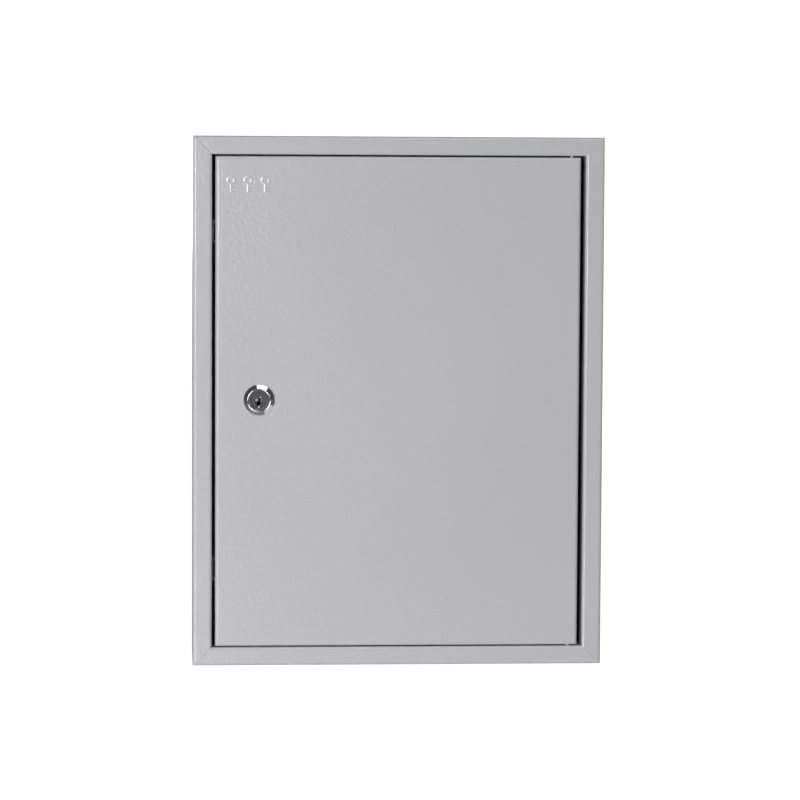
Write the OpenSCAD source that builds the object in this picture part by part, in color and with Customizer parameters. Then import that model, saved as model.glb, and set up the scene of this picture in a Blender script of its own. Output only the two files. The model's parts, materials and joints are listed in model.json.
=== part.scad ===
// Wall key cabinet: a welded sheet steel case, an inset door on two pivot pins, a quarter-turn
// cam lock, and rows of key hooks on rails that hang in two slotted uprights.
// The origin is on the wall, at the middle of the fixing holes. +X is to the right as the door is
// seen, +Y goes into the wall and +Z is up. The modules measure depth from the frame's front face,
// and in_case() moves them into place.

/* [Case] */
// Width across the side walls
body_w = 291; // [240:1:400]
// Height over the top and bottom walls
body_h = 375; // [310:1:600]
// Depth from the frame's front face to the wall
body_d = 80; // [66:1:150]
// Thickness of the case's and the door's steel sheet
sheet_t = 1; // [0.8:0.1:1.3]
// Outside radius of the bends in that sheet
bend_r = 2.2; // [1.8:0.1:2.8]
// Width of the frame's face at the left and right
frame_side_w = 13.6; // [12:0.1:24]
// Width of the frame's face at the top and bottom
frame_end_w = 13.1; // [12:0.1:24]
// Depth of the flange that lines the door opening
return_d = 15; // [14.5:0.1:20]
// Width of the groove left along each welded mitre
mitre_groove_w = 0.5; // [0.2:0.1:0.8]
// Depth of the back panel's welding flange
back_flange_d = 10; // [6:1:20]
// Diameter of the wall fixing holes
wall_hole_d = 8; // [5:0.5:9]
// Distance of the wall fixing holes from the case's sides
wall_hole_inset_x = 45.5; // [38:0.5:60]
// Distance of the wall fixing holes from the case's top and bottom
wall_hole_inset_z = 22.5; // [18:0.5:30]

/* [Door] */
// Gap between the door and the frame at the lock side
gap_lock_side = 2.3; // [1:0.1:4]
// Gap between the door and the frame at the hinge side
gap_hinge_side = 3.4; // [2.4:0.1:5]
// Gap above the door
gap_top = 1.1; // [0.8:0.1:3]
// Gap below the door
gap_bottom = 0.8; // [0.6:0.1:3]
// Depth of the door's edge flanges
door_d = 14; // [11:0.5:14]
// Distance of the pivot axis from the door's hinge-side edge
pivot_inset = 6.2; // [5:0.1:7]
// Distance of the pivot axis behind the door's front face
pivot_depth = 5; // [4.6:0.1:6]
// Diameter of the pivot pins in the door
pin_d = 3; // [2:0.5:3]
// Diameter of the shoulder that carries the door on the lower pin
shoulder_d = 4; // [3.8:0.1:4.4]
// Width of the plates that thicken the door's flanges at the pins
pivot_plate_w = 14; // [11:1:20]
// Depth of those plates
pivot_plate_d = 9; // [7:0.5:10]
// Thickness of those plates
pivot_plate_t = 2; // [1:0.5:3]
// Height of the two door stops above and below the door's middle
stop_height = 120; // [60:5:125]

/* [Lock] */
// Distance of the lock's axis from the door's lock-side edge
lock_inset = 30.9; // [26:0.1:34]
// Height of the lock's axis above the door's middle
lock_raise = 1.7; // [-20:0.1:20]
// How far the chrome bezel reaches past the barrel
bezel_lip = 2; // [1.8:0.1:4]
// How far the bezel stands in front of the door
bezel_h = 2.8; // [2.8:0.1:4]
// Outside diameter of the threaded barrel
barrel_d = 18; // [17.5:0.5:19]
// Depth of each of the barrel's two flats
flat_depth = 1; // [0.5:0.1:1.5]
// Pitch of the barrel's thread
thread_pitch = 1; // [0.8:0.1:1.5]
// Diameter of the lock's plug
plug_d = 12; // [12:0.1:12.6]
// Width of the keyway
keyway_w = 2.2; // [1.4:0.1:2.3]
// Height of the keyway
keyway_h = 8.2; // [7:0.1:8.4]
// Distance of the keyway's middle below the plug's axis
keyway_drop = 1.4; // [0:0.1:1.5]
// Height of the hexagon nut that clamps the lock
nut_h = 3; // [2:0.5:4]
// How far the flats of that nut stand outside the barrel
nut_lip = 2.5; // [2:0.5:4]
// Gap between the frame's flange and the locked cam behind it
cam_gap = 2; // [1:0.1:4]
// How far the locked cam reaches past the frame's flange
cam_overlap = 6.5; // [4:0.5:8]
// Width of the cam
cam_w = 14; // [10:0.5:16]
// Thickness of the cam
cam_t = 2; // [1.5:0.5:3]
// How far the plug is turned clockwise from its unlocked stop at rest
rest_turn = 11; // [0:1:15]
// Number of wafers in the plug
wafer_count = 5; // [3:1:5]

/* [Hook rails] */
// Width of the slotted uprights
upright_w = 16; // [12:1:20]
// How far the uprights stand in front of the back panel
upright_d = 8; // [6:0.5:12]
// Distance of the uprights' centre lines from the case's sides
upright_inset = 17; // [13:0.5:24]
// Distance of the uprights' ends from the top and bottom walls' outsides
upright_end_inset = 18; // [14:1:30]
// Spacing of the slots in the uprights
slot_pitch = 15.5; // [12:0.5:20]
// Width of each slot
slot_w = 2; // [1.6:0.1:3]
// Height of each slot
slot_h = 8; // [7.5:0.5:10]
// Height of a hook rail
rail_h = 22; // [21:1:30]
// Thickness of the rails' and the uprights' sheet
rail_t = 1; // [0.8:0.1:1.2]
// Spacing of the key hooks along a rail
hook_pitch = 30; // [20:1:45]
// Diameter of the hook wire
hook_wire_d = 2.2; // [1.5:0.1:3]
// Straight length of a hook in front of its rail
hook_reach = 13; // [8:0.5:20]
// Height of a hook's upturned end above its bend
hook_rise = 4; // [2:0.5:8]
// Height of the number strips
label_h = 8; // [5:0.5:9]

/* [Hidden] */
$fn = 64;
rail_count = 5;
eps = 0.01;

// Clearances
fixed_clear = 0.02;  // radial, between pieces that are riveted, pressed or clamped together
turn_clear = 0.05;   // radial, between pieces that turn on each other
slide_clear = 0.1;   // between a flat piece and the slot that it sits in
move_clear = 0.3;    // between pieces that pass or stop each other

// Door opening and door
opening_right = body_w / 2 - frame_side_w;
opening_top = body_h / 2 - frame_end_w;
door_w = 2 * opening_right - gap_lock_side - gap_hinge_side;
door_h = 2 * opening_top - gap_top - gap_bottom;
door_right = opening_right - gap_hinge_side;
door_left = -opening_right + gap_lock_side;
door_top = opening_top - gap_top;
door_bottom = -opening_top + gap_bottom;
door_mid_z = (door_top + door_bottom) / 2;
door_mid_x = (door_left + door_right) / 2;
pivot_x = door_right - pivot_inset;
pin_head_d = 2 * (pivot_depth - bend_r);  // the head stays off the flange's bend
pin_head_h = 1.5;
pin_end = 1;  // how far a pin passes through its pivot plate
pin_reach = 2 * sheet_t + pivot_plate_t + pin_end;

// Lock, measured along its axis from the door's front face
lock_x = door_left + lock_inset;
lock_z = door_mid_z + lock_raise;
washer_h = 0.8;
bezel_wall = 1.6;
bezel_r = barrel_d / 2 + bezel_lip;
crest_r = bezel_r - 3;       // where the bezel's sloping rim is highest
rim_slope = 35;              // angle of that rim to the door
rim_edge_r = 0.5;            // rounding of the rim's two edges
flange_seat_r = bezel_r - 1.5;
plug_face = 2.3;             // how far the plug's face stands in front of the door
plug_bore_r = plug_d / 2 + turn_clear;
barrel_flats = barrel_d - 2 * flat_depth;
nut_flats = barrel_d + 2 * nut_lip;
thread_depth = 0.5;
stop_washer_t = 0.8;
barrel_len = return_d + cam_gap - stop_washer_t - move_clear;
stop_washer_y = barrel_len + move_clear;
cam_y = stop_washer_y + stop_washer_t;
cam_washer_y = cam_y + cam_t;
cam_washer_t = 1;
screw_y = cam_washer_y + cam_washer_t;
screw_d = 5;
screw_flats = 8;
screw_head_h = 3.5;
screw_depth = 8;             // thread length in the plug's tail
tail_flats = 7;              // the plug's square tail
tail_corner_d = 9;
stop_lug_d = barrel_d / 2 - thread_depth - plug_bore_r - 0.4;
stop_radius = (barrel_d / 2 - thread_depth + plug_bore_r) / 2;  // where the two lugs stand
stop_tab_angle = 12;         // half the angle of the stop washer's tab
stop_gap_angle = 22;         // from the tab's middle to a stop's middle at the end of its travel
quarter_turn = 90;
cam_len = lock_inset + gap_lock_side + sheet_t + cam_overlap;

// Wafers and their springs, in the plug
wafer_t = 0.8;
wafer_pitch = 2.3;
wafer_first = 2.6;
wafer_size = [4.4, plug_d - 1];
wafer_window = [2.4, 5.6];
wafer_slot_clear = 0.05;
lug_out = 3.9;               // outer end of the wafer's spring lug, from the plug's axis
lug_z = [1.5, 2.5];
spring_x = 3.2;
spring_pocket_r = 0.7;
spring_coil_r = 0.5;
spring_wire_r = 0.13;
spring_bottom = -3.4;
spring_bead_r = spring_wire_r + 0.003;
spring_turns = 4;

// Hook rails, measured from the frame's front face
back_y = body_d - sheet_t;          // back panel's inner face
rail_y = back_y - upright_d;        // rails' back face, against the uprights
rail_front_y = rail_y - rail_t;
rail_bend_r = 1.8;
upright_x = body_w / 2 - upright_inset;
upright_h = body_h - 2 * upright_end_inset;
lip_half = upright_x - upright_w / 2 - 1.5;   // the rail's stiffening lip ends beside the uprights
lip_d = 5;
tab_t = rail_t;
tab_nose = 3;                       // how far a tab reaches behind the rail
tab_drop = 3;                       // how far its nose hangs below the slot
tab_top = slot_h / 2 - tab_drop - 0.5;  // low enough for the nose to pass through the slot
hook_bend_r = 3;
hook_z = -6;                        // height of the hooks below a rail's middle
hook_head_d = 4;
hook_head_h = 0.8;
hook_edge = 16;                     // least distance from the outer hooks to the uprights' centres
hook_count = floor(2 * (upright_x - hook_edge) / hook_pitch) + 1;
label_t = 0.4;
label_bottom = 0.5;
label_half = (hook_count - 1) * hook_pitch / 2 + 12;

// Wall fixing holes, and the rails spaced by whole slots so that they stay clear of those holes
wall_dx = body_w - 2 * wall_hole_inset_x;
wall_dz = body_h - 2 * wall_hole_inset_z;
wall_access = 14;                   // least distance from a hole to a rail's edge
rail_slots = floor((wall_dz - rail_h - 2 * wall_access) / ((rail_count - 1) * slot_pitch));
rail_pitch = rail_slots * slot_pitch;
slot_count = 2 * floor((upright_h / 2 - slot_h) / slot_pitch) + 1;

// Door stops
stop_t = 1;
stop_w = 16;
stop_leg = 8;
stop_reach = 9;
pad_t = return_d - door_d - move_clear;

steel_grey = [0.74, 0.74, 0.75];
zinc = [0.8, 0.81, 0.83];

// ---------- shared shapes ----------

// Depth is measured from the frame's front face; this puts that face in front of the wall
module in_case() translate([0, -body_d, 0]) children();

// Things drawn up the Z axis point into the case, with their +Y side down
module along_depth() rotate([-90, 0, 0]) children();

// A quarter of a bent sheet's section round the origin, in quadrant q
module bend_section(q, r, t)
    intersection() {
        difference() {
            circle(r);
            circle(r - t);
        }
        rotate(90 * q) square(r + 1);
    }

// A rectangle of width w from y = 0 to y = d, with its two corners at y = 0 rounded to r
module tray_section(w, d, r) {
    translate([-w / 2 + r, 0]) square([w - 2 * r, d]);
    translate([-w / 2, r]) square([w, d - r]);
    for (side = [-1, 1]) translate([side * (w / 2 - r), r]) circle(r);
}

module tray_block(w, h, d, r)
    intersection() {
        translate([0, 0, -h / 2]) linear_extrude(h) tray_section(w, d, r);
        rotate([0, 90, 0]) translate([0, 0, -w / 2]) linear_extrude(w) tray_section(h, d, r);
    }

// A panel at y = 0 with flanges of depth d folded back along its four edges
module tray(w, h, d, t, r)
    difference() {
        tray_block(w, h, d, r);
        translate([0, t, 0]) tray_block(w - 2 * t, h - 2 * t, d, r - t);
    }

// A channel of length h along Z, open towards +Y
module channel(w, h, d, t, r)
    translate([0, 0, -h / 2]) linear_extrude(h) difference() {
        tray_section(w, d, r);
        translate([0, t]) tray_section(w - 2 * t, d, r - t);
    }

// A hexagon prism up the Z axis, measured across its flats
module hexagon(flats, h) cylinder(d = flats / cos(30), h = h, $fn = 6);

// A ring up the Z axis
module ring(outer_r, inner_r, h)
    difference() {
        cylinder(r = outer_r, h = h);
        translate([0, 0, -1]) cylinder(r = inner_r, h = h + 2);
    }

// ---------- case ----------

// Section of one side: wall, frame face and the flange that lines the opening
module side_section(face_w) {
    translate([0, bend_r]) square([sheet_t, body_d - bend_r]);
    translate([bend_r, bend_r]) bend_section(2, bend_r, sheet_t);
    translate([bend_r, 0]) square([face_w - 2 * bend_r, sheet_t]);
    translate([face_w - bend_r, bend_r]) bend_section(3, bend_r, sheet_t);
    translate([face_w - sheet_t, bend_r]) square([sheet_t, return_d - bend_r]);
}

// The region of the case that belongs to one side, between the mitre planes at its two ends
module mitre_region(length, face_w, end_face_w)
    rotate([90, 0, 0]) translate([0, 0, -body_d - 1]) linear_extrude(body_d + 2)
        polygon([
            for (k = [-0.1, 1.2]) [k * face_w, -length / 2 + k * end_face_w],
            for (k = [1.2, -0.1]) [k * face_w, length / 2 - k * end_face_w],
        ]);

// Grooves along both mitres, where the weld is ground flush on the frame's face
module mitre_grooves(length, face_w, end_face_w) {
    groove = mitre_groove_w / sqrt(2);
    for (end = [-1, 1])
        translate([0, 0, end * length / 2]) rotate([0, end * atan2(end_face_w, face_w), 0])
            rotate([45, 0, 0])
                cube([3 * norm([face_w, end_face_w]), groove, groove], center = true);
}

// One side of the case with its outer face at x = 0, mitred to its neighbours
module side_bar(length, face_w, end_face_w)
    difference() {
        intersection() {
            translate([0, 0, -length / 2]) linear_extrude(length) side_section(face_w);
            mitre_region(length, face_w, end_face_w);
        }
        mitre_grooves(length, face_w, end_face_w);
    }

module left_side()
    color(steel_grey) in_case() translate([-body_w / 2, 0, 0])
        side_bar(body_h, frame_side_w, frame_end_w);

module right_side() mirror([1, 0, 0]) left_side();

// The top side before its pivot hole is made
module end_side()
    translate([0, 0, body_h / 2]) rotate([0, 90, 0]) side_bar(body_w, frame_end_w, frame_side_w);

module pivot_hole(d, z)
    translate([pivot_x, pivot_depth, z]) cylinder(d = d, h = 4 * sheet_t, center = true);

module top_side()
    color(steel_grey) in_case() difference() {
        end_side();
        pivot_hole(pin_d + 2 * fixed_clear, opening_top);
    }

module bottom_side()
    color(steel_grey) in_case() difference() {
        mirror([0, 0, 1]) end_side();
        pivot_hole(shoulder_d + 2 * fixed_clear, -opening_top);
    }

module back_panel()
    color(steel_grey) difference() {
        mirror([0, 1, 0]) tray(body_w - 2 * sheet_t, body_h - 2 * sheet_t, back_flange_d, sheet_t, bend_r);
        for (x = [-1, 1], z = [-1, 1])
            translate([x * wall_dx / 2, 0, z * wall_dz / 2]) along_depth()
                cylinder(d = wall_hole_d, h = 4 * sheet_t, center = true);
    }

// ---------- hook rails ----------

module upright(side)
    color(steel_grey) in_case() translate([side * upright_x, rail_y, 0]) difference() {
        channel(upright_w, upright_h, upright_d, rail_t, rail_bend_r);
        for (i = [0 : slot_count - 1])
            translate([0, 0, (i - (slot_count - 1) / 2) * slot_pitch])
                cube([slot_w, 4 * rail_t, slot_h], center = true);
    }

// Height of rail number n, counted from the top
function rail_z(n) = ((rail_count + 1) / 2 - n) * rail_pitch;

function hook_x(i) = (i - (hook_count - 1) / 2) * hook_pitch;

// The tab at a rail's end, which passes through a slot and drops behind the upright's web
module rail_tab()
    translate([tab_t / 2, 0, 0]) rotate([0, -90, 0]) linear_extrude(tab_t)
        polygon([
            [-slot_h / 2 + slide_clear, -eps],
            [-slot_h / 2 + slide_clear, rail_t + slide_clear],
            [-slot_h / 2 - tab_drop, rail_t + slide_clear],
            [-slot_h / 2 - tab_drop, tab_nose],
            [tab_top, tab_nose],
            [tab_top, -eps],
        ]);

// A flat strip between the uprights, with its top edge folded back and a tab at each end
module hook_rail(n)
    color(steel_grey) in_case() translate([0, rail_y, rail_z(n)]) {
        strip_half = upright_x + tab_t / 2;
        strip_top = rail_h / 2 - rail_bend_r;
        difference() {
            translate([-strip_half, -rail_t, -rail_h / 2])
                cube([2 * strip_half, rail_t, rail_h / 2 + strip_top]);
            for (i = [0 : hook_count - 1])
                translate([hook_x(i), 0, hook_z]) along_depth()
                    cylinder(d = hook_wire_d + 2 * fixed_clear, h = 4 * rail_t, center = true);
        }
        translate([-lip_half, rail_bend_r - rail_t, strip_top]) rotate([90, 0, 90])
            linear_extrude(2 * lip_half) {
                bend_section(1, rail_bend_r, rail_t);
                translate([0, rail_bend_r - rail_t]) square([lip_d - rail_bend_r, rail_t]);
            }
        for (side = [-1, 1]) translate([side * upright_x, 0, 0]) rail_tab();
    }

// A wire hook, peened behind its rail, with its end turned up
module key_hook() {
    shank = hook_reach + rail_t;
    along_depth() cylinder(d = hook_head_d, h = hook_head_h);
    translate([0, -shank, 0]) along_depth() cylinder(d = hook_wire_d, h = shank + eps);
    translate([0, -shank, hook_bend_r]) rotate([0, 90, 0]) rotate([0, 0, -90])
        rotate_extrude(angle = 90) translate([hook_bend_r, 0]) circle(d = hook_wire_d);
    translate([0, -shank - hook_bend_r, hook_bend_r]) {
        cylinder(d = hook_wire_d, h = hook_rise);
        translate([0, 0, hook_rise]) sphere(d = hook_wire_d);
    }
}

module key_hooks(n)
    color(zinc) in_case()
        for (i = [0 : hook_count - 1])
            translate([hook_x(i), rail_y, rail_z(n) + hook_z]) key_hook();

// A thin strip on the rail's face, above the hooks, for their numbers
module number_strip(n)
    color([0.95, 0.95, 0.93]) in_case()
        translate([-label_half, rail_front_y - label_t, rail_z(n) + label_bottom])
            cube([2 * label_half, label_t, label_h]);

// ---------- door stops ----------

// An angle on the lock-side flange of the frame, whose free leg reaches behind the door's flange
module door_stop(level)
    color(steel_grey) in_case() translate([-opening_right - sheet_t, 0, door_mid_z + level * stop_height]) {
        translate([-stop_t, return_d - stop_leg, -stop_w / 2]) cube([stop_t, stop_leg + stop_t, stop_w]);
        translate([-stop_t, return_d, -stop_w / 2]) cube([stop_t + stop_reach, stop_t, stop_w]);
    }

// A rubber pad on the stop, just behind the door's flange
module stop_pad(level)
    color([0.12, 0.12, 0.12]) in_case()
        translate([door_left - 1, return_d - pad_t, door_mid_z + level * stop_height - stop_w / 2 + 2])
            cube([5, pad_t, stop_w - 4]);

// ---------- hinge ----------

// A riveted pin that the door turns on. It is drawn for the top, from its head down
module hinge_pin(shoulder, gap, length) {
    cylinder(d = pin_head_d, h = pin_head_h);
    translate([0, 0, -sheet_t - gap]) cylinder(d = shoulder, h = sheet_t + gap + eps);
    translate([0, 0, -length]) cylinder(d = pin_d, h = length + eps);
}

module hinge_pin_upper()
    color(zinc) in_case() translate([pivot_x, pivot_depth, opening_top + sheet_t])
        hinge_pin(pin_d, 0, pin_reach + gap_top);

module hinge_pin_lower()
    color(zinc) in_case() translate([pivot_x, pivot_depth, -opening_top - sheet_t]) mirror([0, 0, 1])
        hinge_pin(shoulder_d, gap_bottom - turn_clear, pin_reach + gap_bottom);

// A plate inside the door's flange that gives the pin a longer bearing, drawn below z = 0
module pivot_plate()
    difference() {
        translate([door_right - sheet_t - pivot_plate_w, bend_r + slide_clear, -pivot_plate_t])
            cube([pivot_plate_w, pivot_plate_d, pivot_plate_t]);
        translate([pivot_x, pivot_depth, 0])
            cylinder(d = pin_d + 2 * turn_clear, h = 4 * pivot_plate_t, center = true);
    }

module pivot_plate_upper()
    color(zinc) in_case() translate([0, 0, door_top - sheet_t]) pivot_plate();

module pivot_plate_lower()
    color(zinc) in_case() translate([0, 0, door_bottom + sheet_t]) mirror([0, 0, 1]) pivot_plate();

// ---------- door ----------

// A round shape with two flats at its left and right, up the Z axis
module double_d(d, flats, h)
    intersection() {
        cylinder(d = d, h = h);
        translate([-flats / 2, -d, -1]) cube([flats, 2 * d, h + 2]);
    }

module door_panel()
    color(steel_grey) in_case() difference() {
        translate([door_mid_x, 0, door_mid_z]) tray(door_w, door_h, door_d, sheet_t, bend_r);
        at_lock(-1) double_d(barrel_d + 2 * slide_clear, barrel_flats + 2 * slide_clear, 2 + 2 * sheet_t);
        pivot_hole(pin_d + 2 * turn_clear, door_top);
        pivot_hole(pin_d + 2 * turn_clear, door_bottom);
    }

// ---------- lock ----------

// Puts things drawn up the Z axis on the lock's axis, y behind the door's front face
module at_lock(y) translate([lock_x, y, lock_z]) along_depth() children();

// The same for what turns with the plug
module at_plug(y) translate([lock_x, y, lock_z]) rotate([0, rest_turn, 0]) along_depth() children();

// Section of the bezel's rim: a slope between two rounded edges, with its crest at y = 0
module rim_section() {
    crest = [crest_r, rim_edge_r];
    run = bezel_r - rim_edge_r - crest_r;
    shoulder = crest + [run, run * tan(rim_slope)];
    out = (rim_edge_r - eps) * [sin(rim_slope), -cos(rim_slope)];  // it cuts into the round edges
    polygon([
        crest, crest + out, shoulder + out, shoulder, [bezel_r, shoulder[1]], [bezel_r, bezel_h],
        [crest_r - rim_edge_r, bezel_h], [crest_r - rim_edge_r, rim_edge_r],
    ]);
    for (edge = [crest, shoulder]) translate(edge) circle(rim_edge_r);
}

// A polished cap over the housing's flange: the rim, a groove and a flat inner ring
module lock_bezel() {
    groove_w = 0.35;
    groove_floor = 0.7;
    ring_drop = 0.3;         // the flat ring lies this far behind the rim's crest
    inner_r = plug_bore_r + slide_clear;
    ring_w = crest_r - rim_edge_r - inner_r;
    color([0.9, 0.9, 0.92]) in_case() at_lock(-bezel_h) rotate_extrude() difference() {
        union() {
            translate([inner_r, ring_drop]) square([ring_w - groove_w, bezel_h - ring_drop]);
            translate([inner_r, groove_floor]) square([ring_w + eps, bezel_h - groove_floor]);
            rim_section();
        }
        translate([0, bezel_wall]) square([flange_seat_r, bezel_h]);
    }
}

// Two lugs on the barrel's end, one past each end of the stop washer's travel
module stop_lugs()
    for (a = [-stop_gap_angle, quarter_turn + stop_gap_angle])
        rotate(90 + a) translate([stop_radius, 0, 0]) cylinder(d = stop_lug_d, h = stop_washer_t);

// Die-cast housing: flange, barrel with a thread and two flats, and the plug's bore
module lock_housing() {
    flange_r = flange_seat_r - fixed_clear;
    flange_h = bezel_h - bezel_wall;
    ridges = floor((barrel_len - 2) / thread_pitch);
    thread_start = barrel_len - ridges * thread_pitch - 0.5;
    color([0.62, 0.62, 0.64]) in_case() difference() {
        union() {
            at_lock(-flange_h) cylinder(r = flange_r, h = flange_h);
            at_lock(-eps) intersection() {
                rotate_extrude() polygon([
                    [0, 0], [barrel_d / 2, 0], [barrel_d / 2, thread_start],
                    for (i = [0 : ridges - 1], edge = [0, 1])
                        [barrel_d / 2 - (1 - edge) * thread_depth,
                            thread_start + (i + 0.5 * (1 + edge)) * thread_pitch],
                    [barrel_d / 2 - thread_depth, barrel_len + eps], [0, barrel_len + eps],
                ]);
                translate([-barrel_flats / 2, -barrel_d, -1])
                    cube([barrel_flats, 2 * barrel_d, barrel_len + 2]);
            }
            at_lock(barrel_len - eps) stop_lugs();
        }
        at_lock(-bezel_h - 1) cylinder(r = plug_bore_r, h = bezel_h + barrel_len + 4);
    }
}

// Spring washer behind the door's panel
module lock_washer()
    color(zinc) in_case() at_lock(sheet_t) difference() {
        ring(nut_flats / 2, barrel_d / 2 + fixed_clear, washer_h);
        translate([0, -0.6, -1]) cube([nut_flats, 1.2, washer_h + 2]);
    }

module lock_nut()
    color(zinc) in_case() at_lock(sheet_t + washer_h) difference() {
        intersection() {
            hexagon(nut_flats, nut_h);
            union() {
                cylinder(r1 = nut_flats / 2, r2 = nut_flats / 2 + 1.5, h = nut_h / 2);
                translate([0, 0, nut_h / 2])
                    cylinder(r1 = nut_flats / 2 + 1.5, r2 = nut_flats / 2, h = nut_h / 2);
            }
        }
        translate([0, 0, -1]) cylinder(r = barrel_d / 2 + fixed_clear, h = nut_h + 2);
    }

// The cuts in the plug: the keyway, and a slot and a spring pocket for each wafer
module plug_cuts() {
    dish_r = 2.7;
    dish_h = 0.6;
    wafer_zone = wafer_first + wafer_count * wafer_pitch;
    translate([0, keyway_drop, -eps]) cylinder(r1 = dish_r, r2 = dish_r - 1.2, h = dish_h);
    translate([0, keyway_drop, plug_face + wafer_zone / 2 - 1])
        cube([keyway_w, keyway_h, wafer_zone + plug_face + 2], center = true);
    for (i = [0 : wafer_count - 1])
        translate([0, 0, plug_face + wafer_first + i * wafer_pitch]) {
            slot = wafer_t + 2 * wafer_slot_clear;
            cube([wafer_size[0] + 2 * wafer_slot_clear, plug_d + 1, slot], center = true);
            translate([0, -lug_z[1] - 1, -slot / 2])
                cube([lug_out + wafer_slot_clear, lug_z[1] - lug_z[0] + 3, slot]);
            translate([spring_x, -spring_bottom, 0]) rotate([90, 0, 0])
                cylinder(r = spring_pocket_r, h = lug_z[0] - spring_bottom);
        }
}

// The plug that the key turns, with a square tail for the cam
module lock_plug() {
    body_len = plug_face + barrel_len;
    tail_len = cam_washer_y - barrel_len - slide_clear;
    edge = 0.4;
    color([0.82, 0.82, 0.84]) in_case() at_plug(-plug_face) difference() {
        union() {
            cylinder(r1 = plug_d / 2 - edge, r2 = plug_d / 2, h = edge);
            translate([0, 0, edge]) cylinder(d = plug_d, h = body_len - edge);
            translate([0, 0, body_len - eps]) intersection() {
                cylinder(d = tail_corner_d, h = tail_len);
                translate([0, 0, tail_len / 2]) cube([tail_flats, tail_flats, tail_len + 2], center = true);
            }
        }
        plug_cuts();
        translate([0, 0, body_len + screw_y - barrel_len - screw_depth])
            cylinder(r = screw_d / 2 + fixed_clear, h = screw_depth);
    }
}

// One wafer, flat in the plug, with a window for the key and a lug that its spring pushes
module wafer()
    translate([0, 0, -wafer_t / 2]) linear_extrude(wafer_t) difference() {
        union() {
            square(wafer_size, center = true);
            translate([0, -lug_z[1]]) square([lug_out, lug_z[1] - lug_z[0]]);
        }
        translate([0, keyway_drop]) square(wafer_window, center = true);
    }

module lock_wafers()
    color([0.72, 0.71, 0.68]) in_case() at_plug(0)
        for (i = [0 : wafer_count - 1])
            translate([0, 0, wafer_first + i * wafer_pitch]) wafer();

// Half a turn of a coil, tilted so that it climbs by rise, with a bead that joins it to the next
module half_turn(rise) {
    tilt = atan2(rise / 2, spring_coil_r);
    tilted_r = spring_coil_r / cos(tilt);
    rotate([0, tilt, 0]) {
        rotate_extrude(angle = 180, $fn = 32) translate([tilted_r, 0]) circle(spring_wire_r, $fn = 24);
        translate([tilted_r, 0, 0]) sphere(spring_bead_r, $fn = 24);
    }
}

// A compression spring up the Z axis from z = 0
module coil_spring(length) {
    rise = (length - 2 * spring_bead_r) / (2 * spring_turns);
    for (i = [0 : 2 * spring_turns - 1])
        translate([0, 0, spring_bead_r + (i + 0.5) * rise]) rotate([0, 0, 180 * (i % 2)]) half_turn(rise);
}

module wafer_springs()
    color(zinc) in_case() at_plug(0)
        for (i = [0 : wafer_count - 1])
            translate([spring_x, -spring_bottom, wafer_first + i * wafer_pitch]) rotate([90, 0, 0])
                coil_spring(lug_z[0] - spring_bottom);

// The square hole that fits the plug's tail
module tail_hole() {
    hole = tail_flats + slide_clear;
    translate([-hole / 2, -hole / 2, -1]) cube([hole, hole, cam_t + 3]);
}

// Turns with the plug; its tab meets the housing's lugs a quarter turn apart
module stop_washer()
    color(zinc) in_case() at_plug(stop_washer_y) difference() {
        union() {
            cylinder(r = stop_radius - stop_lug_d / 2 - move_clear, h = stop_washer_t);
            rotate(90 - stop_tab_angle) rotate_extrude(angle = 2 * stop_tab_angle)
                translate([1, 0]) square([stop_radius, stop_washer_t]);
        }
        tail_hole();
    }

// The cam: a hub and an arm that reaches behind the frame when it is turned to the side
module lock_cam()
    color(zinc) in_case() at_plug(cam_y) difference() {
        union() {
            cylinder(d = cam_w + 3, h = cam_t);
            translate([-cam_w / 2, 0, 0]) cube([cam_w, cam_len - cam_w / 2, cam_t]);
            translate([0, cam_len - cam_w / 2, 0]) cylinder(d = cam_w, h = cam_t);
        }
        tail_hole();
    }

module cam_washer()
    color(zinc) in_case() at_plug(cam_washer_y) ring(5.5, screw_d / 2 + fixed_clear, cam_washer_t);

module cam_screw()
    color(zinc) in_case() at_plug(screw_y) {
        translate([0, 0, -screw_depth + 1]) cylinder(d = screw_d, h = screw_depth);
        intersection() {
            hexagon(screw_flats, screw_head_h);
            cylinder(r1 = screw_flats / 2 + 2, r2 = screw_flats / 2, h = screw_head_h);
        }
    }

// ---------- nodes ----------

left_side();
right_side();
top_side();
bottom_side();
back_panel();
upright(-1);  // left_upright
upright(1);  // right_upright
hook_rail(1);  // hook_rail_1
hook_rail(2);  // hook_rail_2
hook_rail(3);  // hook_rail_3
hook_rail(4);  // hook_rail_4
hook_rail(5);  // hook_rail_5
key_hooks(1);  // key_hooks_1
key_hooks(2);  // key_hooks_2
key_hooks(3);  // key_hooks_3
key_hooks(4);  // key_hooks_4
key_hooks(5);  // key_hooks_5
number_strip(1);  // number_strip_1
number_strip(2);  // number_strip_2
number_strip(3);  // number_strip_3
number_strip(4);  // number_strip_4
number_strip(5);  // number_strip_5
door_stop(1);  // door_stop_upper
door_stop(-1);  // door_stop_lower
stop_pad(1);  // stop_pad_upper
stop_pad(-1);  // stop_pad_lower
hinge_pin_upper();
hinge_pin_lower();
door_panel();
pivot_plate_upper();
pivot_plate_lower();
lock_bezel();
lock_housing();
lock_washer();
lock_nut();
lock_plug();
lock_wafers();
wafer_springs();
stop_washer();
lock_cam();
cam_washer();
cam_screw();
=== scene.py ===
"""Looks for the wall key cabinet: materials, printed numbers, a pressed pictogram, light and camera."""
import json
import math

import bmesh
import bpy
from mathutils import Matrix, Vector


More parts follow.
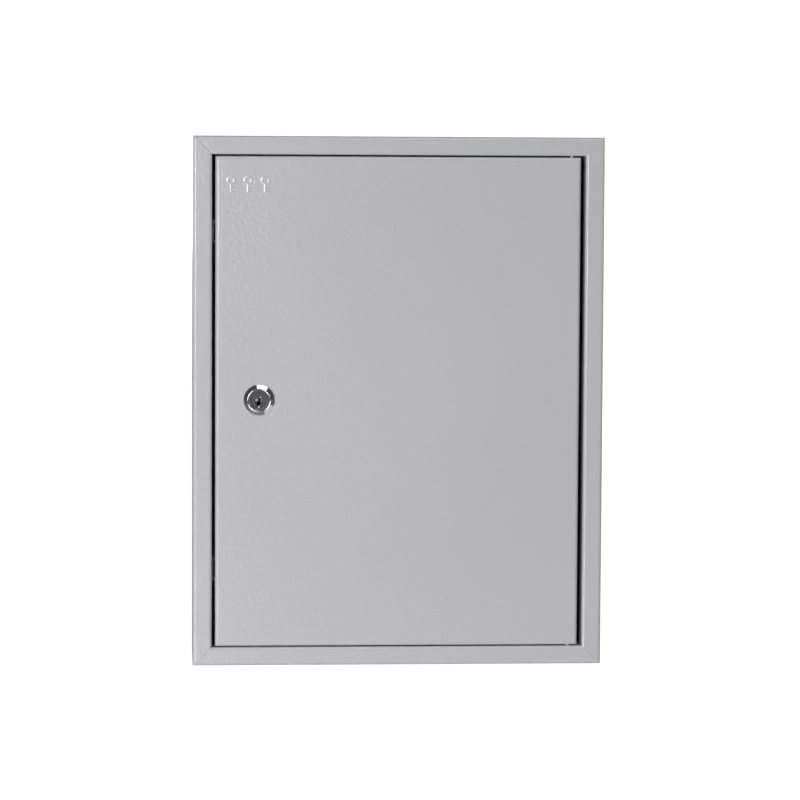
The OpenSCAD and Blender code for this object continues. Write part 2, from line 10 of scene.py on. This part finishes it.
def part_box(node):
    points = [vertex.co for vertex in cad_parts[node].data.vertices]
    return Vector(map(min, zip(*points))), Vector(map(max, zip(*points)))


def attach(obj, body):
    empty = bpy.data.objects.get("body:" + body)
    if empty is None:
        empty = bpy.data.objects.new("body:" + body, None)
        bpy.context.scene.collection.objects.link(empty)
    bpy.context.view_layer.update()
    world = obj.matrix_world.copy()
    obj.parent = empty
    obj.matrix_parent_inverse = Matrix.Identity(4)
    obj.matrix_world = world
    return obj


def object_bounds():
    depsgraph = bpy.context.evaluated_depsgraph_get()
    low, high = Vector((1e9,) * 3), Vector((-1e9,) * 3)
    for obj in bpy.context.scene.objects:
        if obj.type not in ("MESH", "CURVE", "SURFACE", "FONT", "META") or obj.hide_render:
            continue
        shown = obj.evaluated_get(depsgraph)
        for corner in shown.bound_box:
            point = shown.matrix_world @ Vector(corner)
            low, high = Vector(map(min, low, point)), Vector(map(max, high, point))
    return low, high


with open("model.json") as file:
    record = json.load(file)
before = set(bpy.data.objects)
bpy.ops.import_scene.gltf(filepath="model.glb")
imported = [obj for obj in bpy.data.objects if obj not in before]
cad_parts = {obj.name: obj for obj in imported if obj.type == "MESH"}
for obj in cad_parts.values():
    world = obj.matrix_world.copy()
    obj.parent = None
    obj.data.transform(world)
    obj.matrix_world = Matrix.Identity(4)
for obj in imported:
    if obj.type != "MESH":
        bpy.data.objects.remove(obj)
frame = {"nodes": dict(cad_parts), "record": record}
CAD_BOX = [list(corner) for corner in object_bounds()]

MM = 0.001
ROWS = range(1, 6)
HOOKS_PER_ROW = 8
HOOK_HEAD_R = 2.0 * MM
DIGIT_HEIGHT = 6.4 * MM
PRINT_DEPTH = 0.04 * MM

# The mark of hanging keys: its middle key's bow from the door's left and top edges, and one key's sizes.
MARK_FROM_LEFT = 23 * MM
MARK_FROM_TOP = 17 * MM
MARK_SPACING = 12 * MM
MARK_RELIEF = 0.17 * MM
MARK_FLANK = 0.9 * MM
KEY_BOW_R = 3.4 * MM
KEY_HOLE_SHARE = 0.42
KEY_SHAFT_HALF = 1.1 * MM
KEY_LENGTH = 9.0 * MM
KEY_BITS = ((5.0 * MM, 1.6 * MM, 2.2 * MM), (7.4 * MM, 1.6 * MM, 1.5 * MM))
KEY_ARC_STEPS = 48

# The camera's place, seen from the middle of the cabinet's front: angles in degrees, distance in metres.
CAMERA_AZIMUTH = -3.93
CAMERA_ELEVATION = 4.43
CAMERA_ROLL = 0.31
CAMERA_DISTANCE = 2.3355
CAMERA_OFFSET = (1.0 * MM, 1.6 * MM)
CAMERA_LENS = 148.5

FLOOR_DROP = 1.0
FLOOR_RADIUS = 40.0
ROOM_GLOW = 0.08
BACKDROP_GLOW = 2.2
SEEN_WHITE = 1.1
COAT_IOR = 1.72  # above a real coat's, to match the photo's bright bends
# The keyway's painted shade: how far behind the plug's face it begins, and where it is fully near-black.
KEYWAY_PAINTED_SHADE_FROM = 0.6 * MM
KEYWAY_PAINTED_SHADE_TO = 1.4 * MM


# ---------- node helpers ----------

class Shader:
    """A node material with one Principled shader, and short calls to add and link its nodes."""

    def __init__(self, name, color, roughness, metallic=0.0):
        self.material = bpy.data.materials.new(name)
        self.material.use_nodes = True
        self.tree = self.material.node_tree
        self.bsdf = self.tree.nodes["Principled BSDF"]
        self.bsdf.inputs["Base Color"].default_value = (*color, 1.0)
        self.bsdf.inputs["Roughness"].default_value = roughness
        self.bsdf.inputs["Metallic"].default_value = metallic
        self.place = self.node("ShaderNodeTexCoord").outputs["Object"]

    def node(self, kind, **settings):
        made = self.tree.nodes.new(kind)
        for key, value in settings.items():
            if hasattr(made, key):
                setattr(made, key, value)
            else:
                made.inputs[key.replace("_", " ")].default_value = value
        return made

    def link(self, source, target):
        self.tree.links.new(source, target)

    def noise(self, per_metre, detail=2.0, roughness=0.5, stretch=(1.0, 1.0, 1.0)):
        """Noise whose blotches are about 1/per_metre wide, drawn out along the axes with a small stretch."""
        mapping = self.node("ShaderNodeMapping")
        mapping.inputs["Scale"].default_value = [per_metre * s for s in stretch]
        self.link(self.place, mapping.inputs["Vector"])
        noise = self.node("ShaderNodeTexNoise", Scale=1.0, Detail=detail, Roughness=roughness)
        self.link(mapping.outputs["Vector"], noise.inputs["Vector"])
        return noise.outputs["Fac"]

    def cells(self, per_metre):
        """Smooth round bumps, as in orange peel."""
        cells = self.node("ShaderNodeTexVoronoi", feature="SMOOTH_F1", Scale=per_metre, Smoothness=1.0)
        self.link(self.place, cells.inputs["Vector"])
        return cells.outputs["Distance"]

    def spread(self, value, low, high, start=0.3, end=0.7):
        """Maps a noise value onto low to high."""
        ramp = self.node("ShaderNodeMapRange")
        for key, number in (("From Min", start), ("From Max", end), ("To Min", low), ("To Max", high)):
            ramp.inputs[key].default_value = number
        self.link(value, ramp.inputs["Value"])
        return ramp.outputs["Result"]

    def tint(self, value, dark, light, start=0.3, end=0.7):
        """A colour that goes from dark to light with a noise value."""
        ramp = self.node("ShaderNodeValToRGB")
        first, last = ramp.color_ramp.elements
        first.position, first.color = start, (*dark, 1.0)
        last.position, last.color = end, (*light, 1.0)
        self.link(value, ramp.inputs["Fac"])
        return ramp.outputs["Color"]

    def blend(self, amount, first, second):
        """Mixes two colours; amount is a value socket or a plain number."""
        mix = self.node("ShaderNodeMix", data_type="RGBA")
        if isinstance(amount, float):
            mix.inputs["Factor"].default_value = amount
        else:
            self.link(amount, mix.inputs["Factor"])
        for source, socket in ((first, mix.inputs[6]), (second, mix.inputs[7])):
            if isinstance(source, tuple):
                socket.default_value = (*source, 1.0)
            else:
                self.link(source, socket)
        return mix.outputs[2]

    def color(self, source):
        self.link(source, self.bsdf.inputs["Base Color"])

    def roughness(self, source):
        self.link(source, self.bsdf.inputs["Roughness"])

    def bump(self, height, depth, over=None):
        """Adds relief of the given depth in metres, on top of an earlier bump."""
        bump = self.node("ShaderNodeBump", Distance=depth, Strength=1.0)
        self.link(height, bump.inputs["Height"])
        if over is not None:
            self.link(over, bump.inputs["Normal"])
        self.link(bump.outputs["Normal"], self.bsdf.inputs["Normal"])
        return bump.outputs["Normal"]


# ---------- materials ----------

def powder_coat():
    """Light grey powder coat: fine grain over soft orange peel, with slight clouding."""
    paint = Shader("powder_coat", (0.47, 0.472, 0.476), 0.2)
    paint.bsdf.inputs["IOR"].default_value = COAT_IOR
    clouds = paint.tint(paint.noise(9.0, detail=3.0), (0.462, 0.463, 0.467), (0.486, 0.487, 0.490))
    grain = paint.tint(paint.noise(900.0, detail=2.0), (0.448, 0.449, 0.453), (0.500, 0.502, 0.505))
    paint.color(paint.blend(0.5, clouds, grain))
    paint.roughness(paint.spread(paint.noise(420.0, detail=3.0), 0.13, 0.22))
    peel = paint.bump(paint.cells(450.0), 0.12 * MM)
    paint.bump(paint.noise(900.0, detail=3.0, roughness=0.6), 0.115 * MM, over=peel)
    return paint.material


def zinc_plate():
    """Bright zinc plate: faint drawing lines and a cloudy passivated film."""
    zinc = Shader("zinc_plate", (0.62, 0.63, 0.65), 0.3, metallic=1.0)
    film = zinc.tint(zinc.noise(130.0, detail=4.0), (0.54, 0.55, 0.57), (0.68, 0.68, 0.69))
    stained = zinc.spread(zinc.noise(45.0, detail=2.0), 0.0, 0.35, 0.5, 0.75)
    zinc.color(zinc.blend(stained, film, (0.60, 0.58, 0.50)))
    zinc.roughness(zinc.spread(zinc.noise(700.0, detail=3.0), 0.38, 0.55))
    zinc.bump(zinc.noise(2600.0, detail=2.0, stretch=(1.0, 1.0, 0.15)), 0.006 * MM)
    return zinc.material


def lock_chrome():
    """Polished chrome with hairline scratches and faint smears."""
    chrome = Shader("lock_chrome", (0.72, 0.72, 0.74), 0.08, metallic=1.0)
    smears = chrome.noise(300.0, detail=3.0)
    chrome.roughness(chrome.spread(smears, 0.05, 0.15))
    chrome.color(chrome.tint(smears, (0.66, 0.66, 0.68), (0.76, 0.76, 0.78)))
    chrome.bump(chrome.noise(3500.0, detail=2.0, stretch=(1.0, 1.0, 0.1)), 0.0015 * MM)
    return chrome.material


def plug_nickel():
    """Nickel on the lock's plug, bright on its face, with the keyway painted near-black a little behind the
    face as painted shade of its depths.
    """
    nickel = Shader("plug_nickel", (0.62, 0.62, 0.64), 0.12, metallic=1.0)
    wear = nickel.noise(900.0, detail=4.0)
    face = nickel.tint(wear, (0.58, 0.58, 0.60), (0.66, 0.66, 0.68))
    axes = nickel.node("ShaderNodeSeparateXYZ")
    nickel.link(nickel.place, axes.inputs["Vector"])
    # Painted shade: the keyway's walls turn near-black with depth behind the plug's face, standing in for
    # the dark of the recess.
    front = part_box("lock_plug")[0][1]
    keyway_shade = nickel.spread(axes.outputs["Y"], 0.0, 1.0, front + KEYWAY_PAINTED_SHADE_FROM, front + KEYWAY_PAINTED_SHADE_TO)
    nickel.color(nickel.blend(keyway_shade, face, (0.03, 0.03, 0.03)))
    nickel.roughness(nickel.spread(wear, 0.09, 0.16))
    nickel.bump(nickel.noise(1800.0, detail=3.0), 0.001 * MM)
    return nickel.material


def die_cast_zinc():
    """Plated zinc casting, with the slightly pitted skin of the mould."""
    cast = Shader("die_cast_zinc", (0.46, 0.46, 0.48), 0.38, metallic=1.0)
    skin = cast.noise(900.0, detail=4.0)
    cast.color(cast.tint(skin, (0.38, 0.38, 0.40), (0.52, 0.52, 0.54)))
    cast.roughness(cast.spread(skin, 0.3, 0.5))
    cast.bump(skin, 0.02 * MM)
    return cast.material


def wafer_nickel():
    """Stamped nickel silver with a light tarnish."""
    wafer = Shader("wafer_nickel", (0.62, 0.60, 0.55), 0.28, metallic=1.0)
    tarnish = wafer.noise(500.0, detail=4.0)
    wafer.color(wafer.tint(tarnish, (0.50, 0.47, 0.41), (0.70, 0.69, 0.66)))
    wafer.roughness(wafer.spread(tarnish, 0.2, 0.42))
    wafer.bump(wafer.noise(2500.0), 0.004 * MM)
    return wafer.material


def spring_steel():
    """Drawn wire, with marks along its length."""
    wire = Shader("spring_steel", (0.50, 0.50, 0.52), 0.25, metallic=1.0)
    marks = wire.noise(3000.0, detail=2.0)
    wire.color(wire.tint(marks, (0.42, 0.42, 0.44), (0.58, 0.58, 0.60)))
    wire.roughness(wire.spread(marks, 0.18, 0.36))
    return wire.material


def pad_rubber():
    """Matt black rubber with a moulded grain and a little dust."""
    rubber = Shader("pad_rubber", (0.02, 0.02, 0.02), 0.75)
    dust = rubber.noise(350.0, detail=3.0)
    rubber.color(rubber.tint(dust, (0.014, 0.014, 0.015), (0.045, 0.044, 0.042)))
    rubber.roughness(rubber.spread(dust, 0.65, 0.88))
    rubber.bump(rubber.cells(1600.0), 0.03 * MM)
    return rubber.material


def strip_plastic():
    """White printed film on the rails, slightly yellowed in patches."""
    film = Shader("strip_plastic", (0.82, 0.82, 0.80), 0.45)
    age = film.noise(30.0, detail=3.0)
    film.color(film.tint(age, (0.78, 0.77, 0.73), (0.84, 0.84, 0.83)))
    film.roughness(film.spread(film.noise(800.0), 0.38, 0.52))
    film.bump(film.noise(1500.0), 0.004 * MM)
    return film.material


def printing_ink():
    """Black ink, a little uneven."""
    ink = Shader("printing_ink", (0.02, 0.02, 0.02), 0.5)
    ink.color(ink.tint(ink.noise(2500.0), (0.012, 0.012, 0.013), (0.035, 0.035, 0.036)))
    ink.roughness(ink.spread(ink.noise(1500.0), 0.42, 0.6))
    return ink.material


def dress_cad_nodes():
    """Gives each CAD node the material of its slot in the record."""
    makers = (powder_coat, zinc_plate, lock_chrome, plug_nickel, die_cast_zinc, wafer_nickel, spring_steel,
              pad_rubber, strip_plastic)
    materials = {maker.__name__: maker() for maker in makers}
    for subpart in frame["record"]["subparts"]:
        mesh = frame["nodes"][subpart["node"]].data
        mesh.materials.clear()
        mesh.materials.append(materials[subpart["material_slot"]])
    return materials


# ---------- added pieces ----------

def add_object(name, data, body, material):
    """Links a new piece into the scene, dressed and riding on its body."""
    piece = bpy.data.objects.new(name, data)
    bpy.context.scene.collection.objects.link(piece)
    data.materials.clear()
    data.materials.append(material)
    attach(piece, body)
    return piece


def text_mesh(name, text, height, depth):
    """A flat mesh of the text in the XZ plane, facing -Y, centred on the origin."""
    curve = bpy.data.curves.new(name, "FONT")
    curve.body = text
    curve.size = height
    curve.align_x = "CENTER"
    curve.align_y = "CENTER"
    curve.extrude = depth / 2
    holder = bpy.data.objects.new(name, curve)
    mesh = bpy.data.meshes.new_from_object(holder)
    bpy.data.objects.remove(holder)
    mesh.transform(Matrix.Rotation(math.radians(90), 4, "X"))
    return mesh


def row_numbers(row, ink):
    """The numbers above one row of hooks, printed on its strip, as one piece."""
    low, high = (Vector(corner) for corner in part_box(f"number_strip_{row}"))
    hooks_low, hooks_high = (Vector(corner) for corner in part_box(f"key_hooks_{row}"))
    first_x, last_x = hooks_low.x + HOOK_HEAD_R, hooks_high.x - HOOK_HEAD_R
    merged = bmesh.new()
    for hook in range(HOOKS_PER_ROW):
        number = (row - 1) * HOOKS_PER_ROW + hook + 1
        mesh = text_mesh("number", str(number), DIGIT_HEIGHT, PRINT_DEPTH)
        x = first_x + (last_x - first_x) * hook / (HOOKS_PER_ROW - 1)
        mesh.transform(Matrix.Translation((x, low.y - PRINT_DEPTH / 2, (low.z + high.z) / 2)))
        merged.from_mesh(mesh)
        bpy.data.meshes.remove(mesh)
    data = bpy.data.meshes.new(f"numbers_row_{row}")
    merged.to_mesh(data)
    merged.free()
    return add_object(f"numbers_row_{row}", data, "cabinet", ink)


def key_outline():
    """The outline of a simple key that hangs from its bow at the origin, as two closed loops."""
    neck = math.asin(KEY_SHAFT_HALF / KEY_BOW_R)
    turn = (2 * math.pi - 2 * neck) / KEY_ARC_STEPS
    around = [neck + turn * i for i in range(KEY_ARC_STEPS + 1)]
    outer = [(KEY_BOW_R * math.cos(a), KEY_BOW_R * math.sin(a)) for a in around]
    for start, width, drop in KEY_BITS:
        outer += [(start, -KEY_SHAFT_HALF), (start, -KEY_SHAFT_HALF - drop)]
        outer += [(start + width, -KEY_SHAFT_HALF - drop), (start + width, -KEY_SHAFT_HALF)]
    outer += [(KEY_LENGTH, -KEY_SHAFT_HALF), (KEY_LENGTH, KEY_SHAFT_HALF)]
    hole_r = KEY_HOLE_SHARE * KEY_BOW_R
    hole = [(hole_r * math.cos(a), hole_r * math.sin(a)) for a in around[:-1]]
    return [[(-across, -along) for along, across in loop] for loop in (outer, hole)]


def key_emblem(paint):
    """Three hanging keys in low relief, with flat sloping flanks, in the door's upper corner by the lock."""
    curve = bpy.data.curves.new("key_emblem", "CURVE")
    curve.dimensions = "2D"
    curve.fill_mode = "BOTH"
    for shift in (-MARK_SPACING, 0.0, MARK_SPACING):
        for loop in key_outline():
            spline = curve.splines.new("POLY")
            spline.points.add(len(loop) - 1)
            for point, (x, z) in zip(spline.points, loop):
                point.co = (x + shift, z, 0.0, 1.0)
            spline.use_cyclic_u = True
    curve.bevel_depth = MARK_FLANK
    curve.bevel_resolution = 0
    curve.offset = -MARK_FLANK
    holder = bpy.data.objects.new("key_emblem", curve)
    mesh = bpy.data.meshes.new_from_object(holder)
    bpy.data.objects.remove(holder)
    low, high = (Vector(corner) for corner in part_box("door_panel"))
    flatten = Matrix.Diagonal((1.0, 1.0, MARK_RELIEF / MARK_FLANK, 1.0))
    stand = Matrix.Rotation(math.radians(90), 4, "X")
    place = Matrix.Translation((low.x + MARK_FROM_LEFT, low.y, high.z - MARK_FROM_TOP))
    mesh.transform(place @ stand @ flatten)
    mesh.polygons.foreach_set("use_smooth", [False] * len(mesh.polygons))
    return add_object("key_emblem", mesh, "door", paint)


# ---------- stage, light and camera ----------

def stage_floor():
    """A plain floor well below the cabinet: pale to the camera, and a mid grey to every other ray."""
    disc = bmesh.new()
    bmesh.ops.create_circle(disc, cap_ends=True, segments=96, radius=FLOOR_RADIUS)
    data = bpy.data.meshes.new("stage_floor")
    disc.to_mesh(data)
    disc.free()
    floor = bpy.data.objects.new("stage_floor", data)
    floor.location.z = CAD_BOX[0][2] - FLOOR_DROP
    bpy.context.scene.collection.objects.link(floor)
    paper = Shader("stage_paper", (0.3, 0.3, 0.3), 0.9)
    paper.bsdf.inputs["Emission Color"].default_value = (0.92, 0.92, 0.92, 1.0)
    seen = paper.node("ShaderNodeLightPath").outputs["Is Camera Ray"]
    paper.link(seen, paper.bsdf.inputs["Emission Strength"])
    data.materials.append(paper.material)


def soft_box(name, target, azimuth, elevation, distance, size, power, color=(1.0, 1.0, 1.0)):
    """A rectangular light that faces the target from the given direction; azimuth 0 is in front."""
    light = bpy.data.lights.new(name, "AREA")
    light.shape = "RECTANGLE"
    light.size, light.size_y = size
    light.energy = power
    light.color = color
    lamp = bpy.data.objects.new(name, light)
    lamp.location = target + distance * direction(azimuth, elevation)
    lamp.rotation_euler = (target - lamp.location).to_track_quat("-Z", "Y").to_euler()
    bpy.context.scene.collection.objects.link(lamp)


def direction(azimuth, elevation):
    """A unit vector from the cabinet towards a viewer; positive azimuth is to the right."""
    around, up = math.radians(azimuth), math.radians(elevation)
    return Vector((math.sin(around) * math.cos(up), -math.cos(around) * math.cos(up), math.sin(up)))


def light_scene(target):
    """A bright box from the left, with dimmer ones below and above that the lock's rim mirrors."""
    soft_box("key_left", target, -22, 6.5, 3.0, (1.05, 1.15), 41.5, (1.0, 0.98, 1.04))
    soft_box("low_left", target, -28, -26, 1.5, (0.75, 0.6), 11.0)
    soft_box("overhead", target, 25, 62, 1.5, (1.2, 0.5), 6.0)
    soft_box("low_right", target, 60, -47, 1.1, (1.1, 0.8), 1.5)


def white_surround():
    """White for the camera. Everything else sees a dark room with a pale backdrop low behind the cabinet."""
    world = bpy.data.worlds.new("surround")
    world.use_nodes = True
    tree = world.node_tree

    def ramp(source, **limits):
        made = tree.nodes.new("ShaderNodeMapRange")
        for key, number in limits.items():
            made.inputs[key.replace("_", " ").title()].default_value = number
        tree.links.new(source, made.inputs["Value"])
        return made

    place = tree.nodes.new("ShaderNodeTexCoord")
    axes = tree.nodes.new("ShaderNodeSeparateXYZ")
    tree.links.new(place.outputs["Generated"], axes.inputs["Vector"])
    height = ramp(axes.outputs["Z"], from_min=0.4, from_max=0.7, to_min=BACKDROP_GLOW, to_max=ROOM_GLOW)
    behind = ramp(axes.outputs["Y"], from_min=0.0, from_max=0.3, to_min=ROOM_GLOW)
    tree.links.new(height.outputs["Result"], behind.inputs["To Max"])
    glow = tree.nodes["Background"]
    glow.inputs["Color"].default_value = (1.0, 1.0, 1.0, 1.0)
    tree.links.new(behind.outputs["Result"], glow.inputs["Strength"])
    seen = tree.nodes.new("ShaderNodeBackground")
    seen.inputs["Color"].default_value = (1.0, 1.0, 1.0, 1.0)
    seen.inputs["Strength"].default_value = SEEN_WHITE
    mix = tree.nodes.new("ShaderNodeMixShader")
    tree.links.new(tree.nodes.new("ShaderNodeLightPath").outputs["Is Camera Ray"], mix.inputs["Fac"])
    tree.links.new(glow.outputs["Background"], mix.inputs[1])
    tree.links.new(seen.outputs["Background"], mix.inputs[2])
    tree.links.new(mix.outputs["Shader"], tree.nodes["World Output"].inputs["Surface"])
    bpy.context.scene.world = world


def place_camera(target):
    """A long lens a little above and to the left of the cabinet's middle."""
    turn = (Matrix.Rotation(math.radians(CAMERA_AZIMUTH), 4, "Z")
            @ Matrix.Rotation(math.radians(-CAMERA_ELEVATION), 4, "X")
            @ Matrix.Rotation(math.radians(-CAMERA_ROLL), 4, "Y"))
    right, forward, up = (turn.to_3x3().col[i] for i in range(3))
    data = bpy.data.cameras.new("camera")
    data.lens = CAMERA_LENS
    data.sensor_width = 36.0
    data.dof.use_dof = False
    camera = bpy.data.objects.new("camera", data)
    place = target - CAMERA_DISTANCE * forward + CAMERA_OFFSET[0] * right + CAMERA_OFFSET[1] * up
    camera.matrix_world = Matrix.Translation(place) @ turn @ Matrix.Rotation(math.radians(90), 4, "X")
    bpy.context.scene.collection.objects.link(camera)
    bpy.context.scene.camera = camera


def front_middle():
    """The middle of the frame's front face."""
    low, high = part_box("left_side")
    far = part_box("right_side")[1]
    return Vector(((low[0] + far[0]) / 2, low[1], (low[2] + high[2]) / 2))


materials = dress_cad_nodes()
ink = printing_ink()
for row in ROWS:
    row_numbers(row, ink)
key_emblem(materials["powder_coat"])

middle = front_middle()
stage_floor()
light_scene(middle)
white_surround()
place_camera(middle)
bpy.context.scene.view_settings.view_transform = "Standard"
